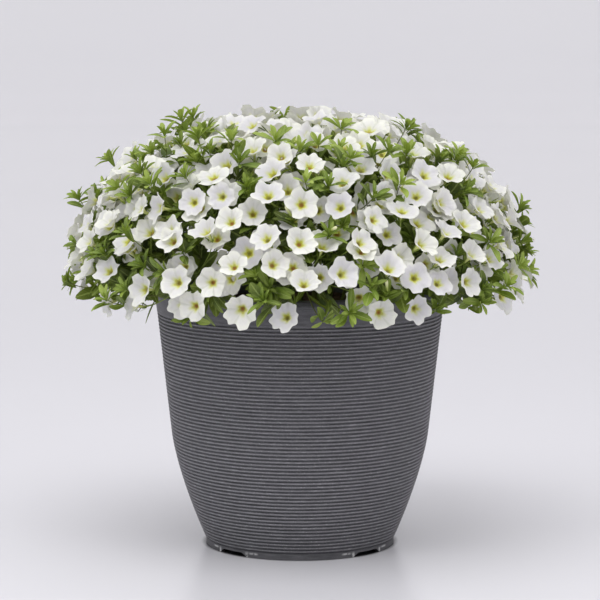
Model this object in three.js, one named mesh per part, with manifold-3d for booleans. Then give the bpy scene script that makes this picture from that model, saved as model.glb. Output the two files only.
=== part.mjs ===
// A white calibrachoa in bloom, in its round ribbed patio planter. Millimetres, +Z up.
// The origin is the centre of the planter's foot, on the surface that the planter stands on.
// The plant is a dome of branches. Each branch is two nodes: its leafy shoots, on a stem that
// stands in a hole in the soil, and its spray of blooms, whose stalks meet at a hub on the branch.
import * as THREE from 'three';
import { mergeVertices } from 'three/addons/utils/BufferGeometryUtils.js';
import Module from 'manifold-3d';

const wasm = await Module();
wasm.setup();

// Planter: a bell-shaped wall with ribs, a smooth band and a rim above them, and a notched foot
const PLANTER_HEIGHT = 267;
const PLANTER_SIDES = 28;
const RIM_RADIUS = 152.5;
const RIM_DROP = 6;
const RIM_ROUND = 1.5;
const BAND_BOTTOM = 239;
const BAND_BOTTOM_RADIUS = 146.5;
const BAND_TOP_RADIUS = 149;
const WALL = 3.2;
const WALL_BASE_RADIUS = 119.2;
const WALL_SLOPE = 0.114;
const BELL_HEIGHT = 115;
const BELL_DEPTH = 109;
const BELL_TUCK = 22;
const BELL_POWER = 1.6;
const INNER_HEIGHTS = [36, 100, 235];
const RIB_COUNT = 14;
const RIB_DEPTH = 1.4;
const RIB_GROOVE_SHARE = 0.12;
const RIB_CREST_SHARE = 0.6;
const FOOT_RADIUS = 97;
const FOOT_HEIGHT = 6.2;
const FOOT_WIDTH = 5;
const RECESS = 3.9;
const FLOOR_TOP = 8;
const NOTCH_COUNT = 4;
const NOTCH_WIDTH = 34;
const NOTCH_HEIGHT = 3.7;
const DRAIN_COUNT = 4;
const DRAIN_SIDES = 8;
const DRAIN_RADIUS = 5;
const DRAIN_CIRCLE = 62;

// Soil, with a hole for each stem
const SEAT_GAP = 0.3;
const SOIL_TOP = 245;
const HOLE_DEPTH = 14;
const HOLE_SPREAD = 0.5;
const BENT_HOLE_SPREAD = 0.58;

// Dome of the plant
const WAIST_RADIUS = 235;
const WAIST_HEIGHT = 281;
const CROWN = 163;
const SKIRT = 52;
const DOME_POWER = 2.2;
const TILT_POWER = 0.93;
const FACING_HEIGHT = 190;
const SPREAD_PULL = 0.3;
const LEAST_SPREAD = 0.45;

// Branches, in rings round the axis, with angles in degrees
const BRANCH_RINGS = [
  { tilt: 0, count: 1, turn: 0 },
  { tilt: 31, count: 6, turn: 12 },
  { tilt: 58, count: 9, turn: 0 },
  { tilt: 86, count: 11, turn: 9 },
];
const STEM_RADIUS = 3.4;
const STEM_SIDES = 3;
const ELBOW_TILT = 75;
const ELBOW_HEIGHT = 284;
const ELBOW_RADIUS = 132;
const CORE_DEPTH = 56;
const CORE_LEAVES = 5;
const CORE_RADII = [48, 45, 42, 39, 36, 33];
const CORE_TURNS = [0, 12, 24, 36, 48, 60];
const CORE_NOTCH_SHARE = 0.62;
const CORE_HALF_THICKNESS = 6;
const CORE_FLAT_RADIUS = 9;
const CORE_MARGIN = 1;
const HUB_RADIUS = 7;
const HUB_TOP_RADIUS = 4.2;
const HUB_HEIGHT = 8;
const HUB_SIDES = 5;

// Blooms
const BLOOM_SEED = 20417;
const BLOOM_DARTS = 4200;
const BLOOM_COUNT = 244;
const BLOOM_SPACING = 21;
const BLOOM_LOWEST_TILT = 96;
const BLOOM_SWAY = 0.42;
const OVER_HUB_SWAY = 0.04;
const BLOOM_LOBES = 5;
const BLOOM_RADII = [14.4, 17.2];
const BLOOM_INSETS = [0, 2.5, 5, 7.5, 10, 12.5, 15];
const LOBE_RISE = 0.4;
const NOTCH_RISE = -1;
const NOTCH_SHARE = 0.87;
const THROAT_DEPTH = 6.5;
const NECK_DEPTH = 10.5;
const NECK_RADIUS = 2.4;
const ROOT_BEYOND = 2.5;
const RIM_SAMPLES = 20;
const STALK_SAMPLES = [0.1, 0.3, 0.5, 0.7, 0.9];
const CLEARANCE = 0.8;

// Leafy shoots, each a whorl of leaves on a twig
const SHOOT_SEED = 7331;
const SHOOT_DARTS = 1500;
const SHOOT_COUNT = 96;
const SHOOT_SPACING = 34;
const SHOOT_LOWEST_TILT = 102;
const SHOOT_SWAY = 0.3;
const SHOOT_INSETS = [3, 7, 11, 15, 19, 23, 27];
const WHORL_LEAVES = 6;
const WHORL_RADIUS = 7;
const WHORL_RISE = 1;
const WHORL_TOP = 1.5;
const LONG_LEAF = { length: 23, rise: 5 };
const SHORT_LEAF = { length: 15, rise: 9 };
const LEAF_SAMPLES = [0.25, 0.5, 0.75, 1];
const TWIG_TOP_DEPTH = 5;
const TWIG_RADIUS = 1.5;
const TWIG_FLARE = 1.2;
const SHOOT_SIZES = [1, 0.85, 0.7];
const SHOOT_SINKS = [0, 3, 6, 9];
const SHOOT_TURNS = [0, 20, 40];
const TWIG_ROOT_RADII = [16, 10, 4];
const TWIG_ROOT_TURNS = [0, 25, -25, 60, -60];

// What a bloom or a shoot keeps clear of another node by, and how a bloom sinks to do so
const GROWN = 0.25;
const BLOOM_SINKS = [0, 1.5, 3, 4.5, 6, 7.5];

const UP = new THREE.Vector3(0, 0, 1);
const FULL_TURN = 2 * Math.PI;
const radians = THREE.MathUtils.degToRad;

// ---- Solids, joins and cuts

// A closed geometry as a solid, its shared corners merged.
function solidOf(geometry) {
  const bare = new THREE.BufferGeometry();
  bare.setAttribute('position', geometry.getAttribute('position'));
  bare.setIndex(geometry.getIndex());
  const merged = mergeVertices(bare, 1e-4);
  const vertProperties = merged.getAttribute('position').array;
  const triVerts = Uint32Array.from(merged.getIndex().array);
  return new wasm.Manifold(new wasm.Mesh({ numProp: 3, vertProperties, triVerts }));
}

function geometryOf(solid) {
  const mesh = solid.getMesh();
  const geometry = new THREE.BufferGeometry();
  geometry.setAttribute('position', new THREE.BufferAttribute(mesh.vertProperties, 3));
  geometry.setIndex(new THREE.BufferAttribute(mesh.triVerts, 1));
  geometry.computeVertexNormals();
  return geometry;
}

function joined(solids) {
  return solids.reduce((whole, solid) => whole.add(solid));
}

function meshOf(name, solid, material) {
  const mesh = new THREE.Mesh(geometryOf(solid), material);
  mesh.name = name;
  return mesh;
}

// A lathe shape about +Z. The profile lists [radius, height] pairs, axis to axis.
function turned(profile, sides) {
  const points = profile.map(([radius, height]) => new THREE.Vector2(radius, height));
  return new THREE.LatheGeometry(points, sides).rotateX(Math.PI / 2);
}

// Moves a shape that was made about +Z so that it stands at a point along a direction.
function stoodAt(geometry, point, direction) {
  const turn = new THREE.Quaternion().setFromUnitVectors(UP, direction);
  return geometry.applyQuaternion(turn).translate(point.x, point.y, point.z);
}

// A straight rod with a few flat sides between two points.
function rod(from, to, radius, sides) {
  const along = new THREE.Vector3().subVectors(to, from);
  const length = along.length();
  const shape = new THREE.CylinderGeometry(radius, radius, length, sides).rotateX(Math.PI / 2);
  const middle = new THREE.Vector3().addVectors(from, to).multiplyScalar(0.5);
  return stoodAt(shape, middle, along.divideScalar(length));
}

// ---- Seeded draws

function drawsFrom(seed) {
  let state = seed;
  return (low, high) => {
    state = (state * 48271) % 2147483647;
    return low + ((high - low) * state) / 2147483647;
  };
}

// ---- The dome

// The point and outward direction at a tilt from the top and a turn about the axis, both in
// radians, a given depth inside the dome.
function onDome(tilt, turn, inset) {
  const rise = Math.cos(tilt) < 0 ? SKIRT : CROWN;
  const side = Math.sin(tilt) / WAIST_RADIUS;
  const lift = Math.abs(Math.cos(tilt)) / rise;
  const reach = (side ** DOME_POWER + lift ** DOME_POWER) ** (-1 / DOME_POWER);
  const radius = reach * Math.sin(tilt);
  const height = reach * Math.cos(tilt);
  const slopeOut = (radius / WAIST_RADIUS) ** (DOME_POWER - 1) / WAIST_RADIUS;
  const slopeUp = (Math.sign(height) * (Math.abs(height) / rise) ** (DOME_POWER - 1)) / rise;
  const steep = Math.hypot(slopeOut, slopeUp);
  const outward = new THREE.Vector3(
    (Math.cos(turn) * slopeOut) / steep,
    (Math.sin(turn) * slopeOut) / steep,
    slopeUp / steep,
  );
  const point = new THREE.Vector3(
    Math.cos(turn) * radius,
    Math.sin(turn) * radius,
    WAIST_HEIGHT + height,
  ).addScaledVector(outward, -inset);
  return { point, outward };
}

// The direction that a bloom or shoot at a point grows in: away from the middle of the plant
// and from the root of its stalk, swayed by a seeded draw.
function facingFrom(point, root, sway, draw) {
  const facing = new THREE.Vector3(point.x, point.y, point.z - FACING_HEIGHT).normalize();
  facing.x += draw(-sway, sway);
  facing.y += draw(-sway, sway);
  facing.z += draw(-sway, sway);
  const away = new THREE.Vector3().subVectors(point, root).normalize();
  facing.normalize().addScaledVector(away, SPREAD_PULL).normalize();
  while (facing.dot(away) < LEAST_SPREAD) facing.addScaledVector(away, SPREAD_PULL).normalize();
  return facing;
}

// A tilt drawn so that points spread evenly over the dome, down to the lowest tilt.
function drawnTilt(lowest, draw) {
  return Math.acos(1 - (1 - Math.cos(radians(lowest))) * draw(0, 1) ** TILT_POWER);
}

// ---- Branches

// Each branch has a core under the dome and a hub for its spray of blooms just above the core.
function placedBranches() {
  const hubInset = CORE_DEPTH - CORE_HALF_THICKNESS - SEAT_GAP - HUB_HEIGHT / 2;
  return BRANCH_RINGS.flatMap((ring) =>
    Array.from({ length: ring.count }, (_, step) => {
      const tilt = radians(ring.tilt);
      const turn = radians(ring.turn) + (FULL_TURN * step) / ring.count;
      return {
        tilt,
        turn,
        tip: onDome(tilt, turn, 0).point,
        hub: onDome(tilt, turn, hubInset).point,
        core: onDome(tilt, turn, CORE_DEPTH).point,
        outward: onDome(tilt, turn, CORE_DEPTH).outward,
        bends: ring.tilt > ELBOW_TILT,
      };
    }),
  );
}

const branches = placedBranches();

function nearestBranch(point) {
  const gaps = branches.map((branch) => branch.tip.distanceTo(point));
  return gaps.indexOf(Math.min(...gaps));
}

// ---- Where the blooms are

// Two directions across a facing, which with it make a right-handed frame.
function frameOf(facing) {
  const across = new THREE.Vector3(-facing.y, facing.x, 0).normalize();
  return { across, over: new THREE.Vector3().crossVectors(facing, across) };
}

// A point at an angle, radius and rise in the frame of a bloom or shoot.
function local(item, angle, radius, rise) {
  return item.point
    .clone()
    .addScaledVector(item.across, Math.cos(angle) * radius)
    .addScaledVector(item.over, Math.sin(angle) * radius)
    .addScaledVector(item.facing, rise);
}

// Which side of a bloom's funnel a point is on: 1 in front, -1 behind, 0 clear of it
// sideways, and null inside it.
function sideOf(bloom, point) {
  const offset = new THREE.Vector3().subVectors(point, bloom.point);
  const rise = offset.dot(bloom.facing);
  const radius = Math.sqrt(Math.max(0, offset.lengthSq() - rise * rise));
  if (radius > bloom.radius + CLEARANCE) return 0;
  const inside = Math.max(0, bloom.radius - radius);
  if (rise > (-THROAT_DEPTH * inside) / bloom.radius + CLEARANCE) return 1;
  const flare = Math.min(1, inside / (bloom.radius - NECK_RADIUS));
  if (rise < -NECK_DEPTH * flare - CLEARANCE) return -1;
  return null;
}

// Whether a list of points keeps clear of a bloom, with all of them on one side of it.
function keepsClear(bloom, points) {
  let side = 0;
  for (const point of points) {
    const here = sideOf(bloom, point);
    if (here === null || here * side < 0) return false;
    if (here !== 0) side = here;
  }
  return true;
}

function bloomAt(point, facing, radius, spin, branch) {
  const bloom = { point, facing, radius, spin, branch, ...frameOf(facing) };
  const neck = local(bloom, 0, 0, -NECK_DEPTH);
  bloom.rim = [];
  for (let step = 0; step < RIM_SAMPLES; step += 1) {
    bloom.rim.push(local(bloom, (FULL_TURN * step) / RIM_SAMPLES, radius, 0));
  }
  bloom.stalk = STALK_SAMPLES.map((share) => neck.clone().lerp(branches[branch].hub, share));
  return bloom;
}

function bloomsApart(one, other) {
  const gap = one.point.distanceTo(other.point);
  if (gap > 2 * (NECK_DEPTH + BLOOM_RADII[1])) return true;
  if (gap < BLOOM_SPACING) return false;
  if (!keepsClear(one, other.rim) || !keepsClear(other, one.rim)) return false;
  return keepsClear(one, other.stalk) && keepsClear(other, one.stalk);
}

// The blooms are darts on the dome, the first ones over the hubs of the branches. Each is set
// as far out as its neighbours let it be.
function placedBlooms() {
  const draw = drawsFrom(BLOOM_SEED);
  const blooms = [];
  for (let dart = 0; dart < BLOOM_DARTS && blooms.length < BLOOM_COUNT; dart += 1) {
    const over = branches[dart];
    const tilt = over ? over.tilt + draw(0, OVER_HUB_SWAY) : drawnTilt(BLOOM_LOWEST_TILT, draw);
    const turn = over ? over.turn + draw(0, OVER_HUB_SWAY) : draw(0, FULL_TURN);
    const radius = draw(...BLOOM_RADII);
    const spin = draw(0, FULL_TURN / BLOOM_LOBES);
    const reached = onDome(tilt, turn, 0).point;
    const branch = nearestBranch(reached);
    const facing = facingFrom(reached, branches[branch].hub, BLOOM_SWAY, draw);
    for (const inset of BLOOM_INSETS) {
      const bloom = bloomAt(onDome(tilt, turn, inset).point, facing, radius, spin, branch);
      if (!blooms.every((other) => bloomsApart(bloom, other))) continue;
      blooms.push(bloom);
      break;
    }
  }
  return blooms;
}

// ---- Where the shoots are

function leafOf(leaf) {
  return leaf % 2 ? SHORT_LEAF : LONG_LEAF;
}

// Points along the leaves of a shoot.
function leafPoints(shoot) {
  const points = [];
  for (let leaf = 0; leaf < WHORL_LEAVES; leaf += 1) {
    const angle = shoot.spin + (FULL_TURN * leaf) / WHORL_LEAVES;
    const { length, rise } = leafOf(leaf);
    for (const share of LEAF_SAMPLES) points.push(local(shoot, angle, length * share, rise * share));
  }
  return points;
}

// The shoots are darts too. Each whorl is set as far out as the blooms let it be.
function placedShoots(blooms) {
  const draw = drawsFrom(SHOOT_SEED);
  const shoots = [];
  for (let dart = 0; dart < SHOOT_DARTS && shoots.length < SHOOT_COUNT; dart += 1) {
    const tilt = drawnTilt(SHOOT_LOWEST_TILT, draw);
    const turn = draw(0, FULL_TURN);
    const spin = draw(0, FULL_TURN);
    const reached = onDome(tilt, turn, 0).point;
    const branch = nearestBranch(reached);
    const facing = facingFrom(reached, branches[branch].core, SHOOT_SWAY, draw);
    for (const inset of SHOOT_INSETS) {
      const { point } = onDome(tilt, turn, inset);
      const shoot = { point, facing, spin, branch, size: 1, ...frameOf(facing) };
      const leaves = leafPoints(shoot);
      if (shoots.some((other) => other.point.distanceTo(point) < SHOOT_SPACING)) continue;
      if (!blooms.every((bloom) => keepsClear(bloom, leaves))) continue;
      shoots.push(shoot);
      break;
    }
  }
  return shoots;
}

// ---- Solids of one bloom and one shoot

// A closed shape: a ring of points round a centre in front, and behind them a three-sided neck
// that runs to a root of one point or of three.
function stalked(ring, centre, neck, root) {
  const count = ring.length;
  const neckAt = (step) => count + 1 + Math.floor((neck.length * (step + 0.5)) / count);
  const rootAt = (corner) => (root.length === 1 ? count + 1 + neck.length : corner + neck.length);
  const faces = [];
  for (let step = 0; step < count; step += 1) {
    const next = (step + 1) % count;
    const [here, there] = [neckAt(step), neckAt(next)];
    faces.push(step, next, count, next, step, here);
    if (here === there) continue;
    faces.push(next, here, there, there, here, rootAt(here));
    if (root.length > 1) faces.push(there, rootAt(here), rootAt(there));
  }
  const last = count + neck.length + root.length;
  if (root.length > 1) faces.push(last, last - 1, last - 2);
  const geometry = new THREE.BufferGeometry().setFromPoints([...ring, centre, ...neck, ...root]);
  geometry.setIndex(faces);
  return solidOf(geometry);
}

// Three corners of a stalk that stands straight on a root, behind a bloom or a whorl.
function neckOf(item, radius, depth, root) {
  const middle = local(item, 0, 0, -depth);
  const along = new THREE.Vector3().subVectors(middle, root).normalize();
  const turn = new THREE.Quaternion().setFromUnitVectors(item.facing, along);
  return [0.5, 1.5, 2.5].map((corner) => {
    const place = local(item, item.spin + (FULL_TURN * corner) / 3, radius, -depth);
    return place.sub(middle).applyQuaternion(turn).add(middle);
  });
}

// One bloom: five lobes with notches between them round a throat, on a stalk to the hub.
function bloomSolid(bloom, grown) {
  const { hub } = branches[bloom.branch];
  const ring = [];
  for (let step = 0; step < 2 * BLOOM_LOBES; step += 1) {
    const angle = bloom.spin + (Math.PI * step) / BLOOM_LOBES;
    const radius = bloom.radius * (step % 2 ? NOTCH_SHARE : 1) + grown;
    ring.push(local(bloom, angle, radius, step % 2 ? NOTCH_RISE : LOBE_RISE));
  }
  const throat = local(bloom, 0, 0, -THROAT_DEPTH + grown);
  const neck = neckOf(bloom, NECK_RADIUS + grown, NECK_DEPTH + grown, hub);
  const root = new THREE.Vector3().subVectors(hub, bloom.point).setLength(ROOT_BEYOND).add(hub);
  return stalked(ring, throat, neck, [root]);
}

// One shoot: long low leaves and short upright ones by turns, on a twig to its root.
function shootSolid(shoot, root, grown) {
  const ring = [];
  for (let leaf = 0; leaf < WHORL_LEAVES; leaf += 1) {
    const angle = shoot.spin + (FULL_TURN * leaf) / WHORL_LEAVES;
    const between = angle + Math.PI / WHORL_LEAVES;
    const { length, rise } = leafOf(leaf);
    ring.push(local(shoot, angle, length * shoot.size + grown, rise));
    ring.push(local(shoot, between, WHORL_RADIUS * shoot.size + grown, WHORL_RISE));
  }
  const top = local(shoot, 0, 0, WHORL_TOP + grown);
  const neck = neckOf(shoot, TWIG_RADIUS + grown, TWIG_TOP_DEPTH + grown, root);
  const middle = local(shoot, 0, 0, -TWIG_TOP_DEPTH - grown);
  const base = neck.map((corner) => corner.clone().sub(middle).multiplyScalar(TWIG_FLARE).add(root));
  return stalked(ring, top, neck, base);
}

// ---- Planter

// The outside of the bell-shaped wall, at the crests of its ribs.
function wallRadius(height) {
  const tuck = BELL_TUCK * (Math.max(0, BELL_HEIGHT - height) / BELL_DEPTH) ** BELL_POWER;
  return WALL_BASE_RADIUS + WALL_SLOPE * height - tuck;
}

function innerRadius(height) {
  return wallRadius(height) - RIB_DEPTH - WALL;
}

function planterProfile() {
  const footInside = FOOT_RADIUS - FOOT_WIDTH;
  const profile = [[0, RECESS], [footInside, RECESS], [footInside, 0], [FOOT_RADIUS, 0]];
  profile.push([FOOT_RADIUS, FOOT_HEIGHT]);
  const pitch = (BAND_BOTTOM - FOOT_HEIGHT) / RIB_COUNT;
  for (let rib = 0; rib < RIB_COUNT; rib += 1) {
    const groove = FOOT_HEIGHT + (rib + RIB_GROOVE_SHARE) * pitch;
    const crest = FOOT_HEIGHT + (rib + RIB_CREST_SHARE) * pitch;
    profile.push([wallRadius(groove) - RIB_DEPTH, groove], [wallRadius(crest), crest]);
  }
  const rimBottom = PLANTER_HEIGHT - RIM_DROP;
  profile.push([BAND_BOTTOM_RADIUS, BAND_BOTTOM], [BAND_TOP_RADIUS, rimBottom - RIM_ROUND]);
  profile.push([RIM_RADIUS, rimBottom], [RIM_RADIUS, PLANTER_HEIGHT - RIM_ROUND]);
  profile.push([RIM_RADIUS - RIM_ROUND, PLANTER_HEIGHT], [BAND_TOP_RADIUS - WALL, PLANTER_HEIGHT]);
  for (const height of [...INNER_HEIGHTS].reverse()) profile.push([innerRadius(height), height]);
  profile.push([innerRadius(FLOOR_TOP), FLOOR_TOP], [0, FLOOR_TOP]);
  return profile;
}

function footNotch(step) {
  const cutter = new THREE.BoxGeometry(4 * FOOT_WIDTH, NOTCH_WIDTH, 2 * NOTCH_HEIGHT);
  cutter.translate(FOOT_RADIUS - FOOT_WIDTH / 2, 0, 0);
  return solidOf(cutter.rotateZ((FULL_TURN * (step + 0.5)) / NOTCH_COUNT));
}

function drainHole(step) {
  const turn = (FULL_TURN * step) / DRAIN_COUNT;
  const bottom = new THREE.Vector3(DRAIN_CIRCLE * Math.cos(turn), DRAIN_CIRCLE * Math.sin(turn), 0);
  return solidOf(rod(bottom, bottom.clone().setZ(2 * FLOOR_TOP), DRAIN_RADIUS, DRAIN_SIDES));
}

function planterSolid() {
  let planter = solidOf(turned(planterProfile(), PLANTER_SIDES));
  for (let step = 0; step < NOTCH_COUNT; step += 1) planter = planter.subtract(footNotch(step));
  for (let step = 0; step < DRAIN_COUNT; step += 1) planter = planter.subtract(drainHole(step));
  return planter;
}

// ---- Soil and stems

// The stem of a branch, from the bottom of its hole to the core, as a list of points. The stems
// of the lowest branches bend over the rim.
function stemRoute(branch) {
  const outX = Math.cos(branch.turn);
  const outY = Math.sin(branch.turn);
  const share = branch.bends ? BENT_HOLE_SPREAD : HOLE_SPREAD;
  const spread = share * Math.hypot(branch.core.x, branch.core.y);
  const foot = new THREE.Vector3(outX * spread, outY * spread, SOIL_TOP - HOLE_DEPTH + SEAT_GAP);
  if (!branch.bends) return [foot, branch.core];
  const elbow = new THREE.Vector3(outX * ELBOW_RADIUS, outY * ELBOW_RADIUS, ELBOW_HEIGHT);
  return [foot, elbow, branch.core];
}

function stemSolid(branch) {
  const route = stemRoute(branch);
  const lengths = route.slice(1).map((point, step) => {
    const along = new THREE.Vector3().subVectors(point, route[step]).setLength(STEM_RADIUS / 2);
    return solidOf(rod(route[step], along.add(point), STEM_RADIUS, STEM_SIDES));
  });
  return joined(lengths);
}

function stemHole(branch) {
  const [foot, next] = stemRoute(branch);
  const along = new THREE.Vector3().subVectors(next, foot).normalize();
  const bottom = foot.clone().addScaledVector(along, -SEAT_GAP);
  const top = foot.clone().addScaledVector(along, 2 * HOLE_DEPTH);
  return solidOf(rod(bottom, top, STEM_RADIUS + 2 * SEAT_GAP, STEM_SIDES));
}

function soilSolid() {
  const bottom = FLOOR_TOP + SEAT_GAP;
  const top = innerRadius(INNER_HEIGHTS.at(-1)) - 2 * SEAT_GAP;
  const profile = [[0, bottom]];
  for (const height of [bottom, ...INNER_HEIGHTS]) {
    profile.push([innerRadius(height) - 2 * SEAT_GAP, height]);
  }
  profile.push([top, SOIL_TOP], [0, SOIL_TOP]);
  let soil = solidOf(turned(profile, PLANTER_SIDES));
  for (const branch of branches) soil = soil.subtract(stemHole(branch));
  return soil;
}

// ---- Branches: cores, stems and hubs

// The small core that a branch's shoots stand out of, drawn out into a few large leaves.
function coreSolid(branch, radius, turn) {
  const profile = [
    [0, -CORE_HALF_THICKNESS],
    [radius, 0],
    [CORE_FLAT_RADIUS, CORE_HALF_THICKNESS],
    [0, CORE_HALF_THICKNESS],
  ];
  const shape = turned(profile, 2 * CORE_LEAVES);
  const places = shape.getAttribute('position');
  for (let step = 1; step < 2 * CORE_LEAVES; step += 2) {
    const notch = step * profile.length + 1;
    places.setX(notch, places.getX(notch) * CORE_NOTCH_SHARE);
    places.setY(notch, places.getY(notch) * CORE_NOTCH_SHARE);
  }
  return solidOf(stoodAt(shape.rotateZ(radians(turn)), branch.core, branch.outward));
}

function hubSolid(branch) {
  const shape = new THREE.CylinderGeometry(HUB_TOP_RADIUS, HUB_RADIUS, HUB_HEIGHT, HUB_SIDES);
  return solidOf(stoodAt(shape.rotateX(Math.PI / 2), branch.hub, branch.outward));
}

function overlaps(solid, others) {
  return others.some((other) => !solid.intersect(other).isEmpty());
}

// The core and stem of each branch. Each core is as wide as the branches before it let it be.
function coresAndStems() {
  const stems = branches.map(stemSolid);
  const cores = [];
  const choices = CORE_RADII.flatMap((radius) => CORE_TURNS.map((turn) => ({ radius, turn })));
  branches.forEach((branch, index) => {
    const rivals = [...cores, ...stems.filter((_, other) => other !== index)];
    const fits = ({ radius, turn }) => !overlaps(coreSolid(branch, radius + CORE_MARGIN, turn), rivals);
    const { radius, turn } = choices.find(fits);
    cores.push(coreSolid(branch, radius, turn));
  });
  return branches.map((_, index) => [cores[index], stems[index]]);
}

// ---- Branches: what each one carries

// The solids of each spray: its hub and its blooms. A bloom that would touch another node is
// bent clear of it, a little way down its own stalk.
function sprayPieces(blooms, leafy) {
  const sprays = branches.map((branch) => [hubSolid(branch)]);
  for (const bloom of blooms) {
    const others = sprays.filter((_, index) => index !== bloom.branch);
    const rivals = [...others, ...leafy].flat();
    const placed = BLOOM_SINKS.map((sink) => ({ ...bloom, point: local(bloom, 0, 0, -sink) }));
    const clear = placed.find((choice) => !overlaps(bloomSolid(choice, GROWN), rivals));
    if (clear) sprays[bloom.branch].push(bloomSolid(clear, 0));
  }
  return sprays;
}

// The same shoot turned, set a little deeper or drawn a little smaller, the least change first.
function shootChoices(shoot) {
  return SHOOT_SIZES.flatMap((size) =>
    SHOOT_SINKS.flatMap((sink) =>
      SHOOT_TURNS.map((turn) => {
        const point = local(shoot, 0, 0, -sink);
        return { ...shoot, point, size, spin: shoot.spin + radians(turn) };
      }),
    ),
  );
}

// Points in the core of a shoot's branch that its twig can grow from, the nearest first.
function twigRoots(shoot) {
  const branch = branches[shoot.branch];
  const core = { point: branch.core, facing: branch.outward, ...frameOf(branch.outward) };
  const lean = new THREE.Vector3().subVectors(shoot.point, branch.core);
  const towards = Math.atan2(lean.dot(core.over), lean.dot(core.across));
  return TWIG_ROOT_TURNS.flatMap((turn) =>
    TWIG_ROOT_RADII.map((radius) => local(core, towards + radians(turn), radius, 0)),
  );
}

// One shoot bent clear of the rivals, or null where there is no room for it.
function shootClearOf(shoot, rivals) {
  for (const choice of shootChoices(shoot)) {
    const stub = local(choice, 0, 0, -2 * TWIG_TOP_DEPTH);
    if (overlaps(shootSolid(choice, stub, GROWN), rivals)) continue;
    const root = twigRoots(choice).find((place) => !overlaps(shootSolid(choice, place, GROWN), rivals));
    if (root) return shootSolid(choice, root, 0);
  }
  return null;
}

// Adds to each leafy branch the shoots that it has room for.
function addShoots(shoots, sprays, leafy) {
  for (const shoot of shoots) {
    const others = leafy.filter((_, index) => index !== shoot.branch);
    const made = shootClearOf(shoot, [...sprays, ...others].flat());
    if (made) leafy[shoot.branch].push(made);
  }
}

// ---- The potted plant

function finish(color, roughness) {
  return new THREE.MeshStandardMaterial({ color, roughness, metalness: 0 });
}

const planterFinish = finish(0x45474b, 0.6);
const soilFinish = finish(0x33261c, 0.95);
const petalFinish = finish(0xf3f4ec, 0.55);
const leafFinish = finish(0x5b7034, 0.6);

const blooms = placedBlooms();
const leafy = coresAndStems();
const sprays = sprayPieces(blooms, leafy);
addShoots(placedShoots(blooms), sprays, leafy);

const plant = new THREE.Group();
plant.add(meshOf('planter', planterSolid(), planterFinish));
plant.add(meshOf('potting_soil', soilSolid(), soilFinish));
branches.forEach((_, index) => {
  const number = String(index + 1).padStart(2, '0');
  plant.add(meshOf(`bloom_spray_${number}`, joined(sprays[index]), petalFinish));
  plant.add(meshOf(`leafy_branch_${number}`, joined(leafy[index]), leafFinish));
});

export default plant;
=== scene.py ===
"""A white calibrachoa in bloom, in its ribbed patio planter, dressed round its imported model.

Metres, +Z up, with the origin at the centre of the planter's foot. The blooms and the leafy
shoots stand where the rule that placed the solids put them, so that rule is repeated here. Each
spray of blooms and each leafy branch stays a piece of its own. Angles in the tables are in
degrees, and shares run from 0 to 1.
"""

import math

import bmesh
import bpy
import numpy as np
from mathutils import Color, Matrix, Vector, noise


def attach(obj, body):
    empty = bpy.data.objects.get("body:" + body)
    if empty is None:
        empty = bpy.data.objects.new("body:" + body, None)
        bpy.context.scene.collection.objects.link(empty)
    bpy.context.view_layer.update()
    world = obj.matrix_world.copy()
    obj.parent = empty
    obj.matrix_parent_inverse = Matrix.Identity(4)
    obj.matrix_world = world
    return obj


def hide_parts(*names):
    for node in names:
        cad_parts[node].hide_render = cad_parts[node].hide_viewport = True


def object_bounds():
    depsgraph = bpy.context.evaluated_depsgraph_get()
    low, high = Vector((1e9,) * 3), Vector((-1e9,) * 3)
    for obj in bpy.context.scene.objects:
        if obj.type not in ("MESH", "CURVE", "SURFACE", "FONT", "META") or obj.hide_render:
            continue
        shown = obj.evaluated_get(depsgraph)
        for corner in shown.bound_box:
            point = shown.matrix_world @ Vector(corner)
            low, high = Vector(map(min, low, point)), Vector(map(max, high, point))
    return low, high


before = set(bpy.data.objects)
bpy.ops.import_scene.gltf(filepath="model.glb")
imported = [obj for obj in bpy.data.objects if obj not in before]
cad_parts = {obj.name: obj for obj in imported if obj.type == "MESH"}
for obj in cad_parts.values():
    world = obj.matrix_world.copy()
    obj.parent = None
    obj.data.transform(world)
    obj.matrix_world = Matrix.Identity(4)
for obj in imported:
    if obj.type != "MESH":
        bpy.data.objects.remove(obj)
CAD_LOW, CAD_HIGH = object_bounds()
BOX_MARGIN = 0.0002
BOX_LOW, BOX_HIGH = np.array(CAD_LOW) + BOX_MARGIN, np.array(CAD_HIGH) - BOX_MARGIN

FULL_TURN = 2 * math.pi
GOLDEN_TURN = math.radians(137.5)
MM = 0.001

# ---- Planter sizes

PLANTER_HEIGHT = 0.267
PLANTER_STEPS = 96
RIM_RADIUS = 0.1525
RIM_DROP = 0.006
RIM_ROUND = 0.0015
BAND_BOTTOM = 0.239
BAND_BOTTOM_RADIUS = 0.1465
BAND_TOP_RADIUS = 0.149
WALL = 0.0032
WALL_BASE_RADIUS = 0.1192
WALL_SLOPE = 0.114
BELL_HEIGHT = 0.115
BELL_DEPTH = 0.109
BELL_TUCK = 0.022
BELL_POWER = 1.6
RIB_COUNT = 63
RIB_DEPTH = 0.0014
RIB_OUTLINE = ((0.0, 0.0), (0.30, 0.35), (0.52, 0.88), (0.70, 1.0), (0.86, 0.7))
RIB_CREST = 0.70
FOOT_RADIUS = 0.097
FOOT_HEIGHT = 0.0062
FOOT_WIDTH = 0.005
RIB_PITCH = (BAND_BOTTOM - FOOT_HEIGHT) / RIB_COUNT
RECESS = 0.0039
SHARP_ANGLE = 60
FLOOR_TOP = 0.008
INNER_HEIGHTS = (0.235, 0.17, 0.1, 0.065, 0.036, 0.02)
NOTCH_COUNT = 4
NOTCH_WIDTH = 0.034
NOTCH_HEIGHT = 0.0037
DRAIN_COUNT = 4
DRAIN_RADIUS = 0.005
DRAIN_CIRCLE = 0.062
DRILL_HEIGHT = 0.006
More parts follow.
